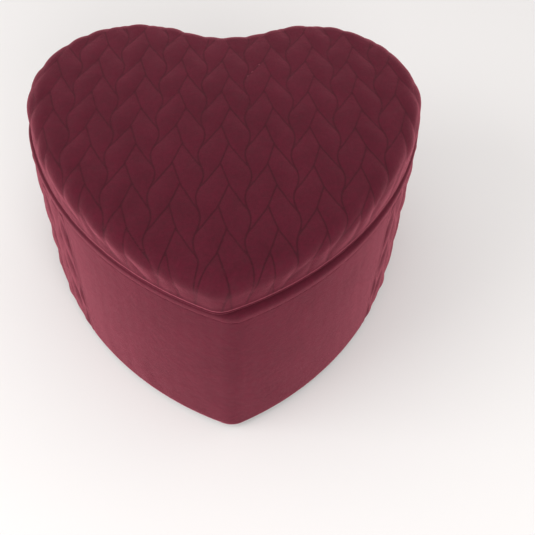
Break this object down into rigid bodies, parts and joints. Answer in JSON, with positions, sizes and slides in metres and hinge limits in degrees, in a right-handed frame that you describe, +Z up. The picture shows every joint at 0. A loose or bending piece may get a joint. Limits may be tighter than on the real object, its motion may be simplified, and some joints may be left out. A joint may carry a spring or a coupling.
{
  "type": "heart-shaped storage footstool",
  "caption": "Heart-shaped velvet storage footstool: a padded, hollow box with a loose quilted lid that lifts off.",
  "frame": {"origin": "on the floor, under the middle of the object's bounding box", "axes": "+Z up, +X across the two lobes, -Y towards the tip of the heart and +Y towards its cleft"},
  "size_m": [0.5, 0.459, 0.282],
  "materials": {
    "quilted_velvet": "matte",
    "plain_velvet": "matte",
    "black_cloth": "matte",
    "lining_cloth": "matte",
    "black_board": "matte",
    "black_plastic": "satin",
    "plywood": "matte",
    "hardboard": "matte",
    "foam": "matte",
    "wadding": "matte",
    "steel": "satin"
  },
  "bodies": {
    "box": {"base_panel": "black_board", "dust_cover": "black_cloth", "glides": "black_plastic", "bottom_ring": "plywood", "top_ring": "plywood", "wall_posts": "plywood", "tip_post": "plywood", "left_outer_shell": "hardboard", "right_outer_shell": "hardboard", "left_inner_shell": "hardboard", "right_inner_shell": "hardboard", "base_screws": "steel", "top_ring_screws": "steel", "left_foam": "foam", "right_foam": "foam", "front_foam": "foam", "left_quilted_panel": "quilted_velvet", "right_quilted_panel": "quilted_velvet", "front_panel": "plain_velvet", "rim_foam": "foam", "rim_band": "plain_velvet", "wall_lining": "lining_cloth", "floor_pad": "lining_cloth", "base_staples": "steel"},
    "lid": {"lid_board": "plywood", "lid_foam": "foam", "lid_wadding": "wadding", "lid_cover": "quilted_velvet", "lid_welt": "plain_velvet", "lid_lining": "black_cloth", "locator_panel": "black_board", "locator_screws": "steel", "lid_staples": "steel"}
  },
  "joints": [
    {"name": "lid_lift", "type": "slide", "parent": "box", "child": "lid", "axis": [0, 0, 1], "range_m": [0, 0.25]}
  ]
}
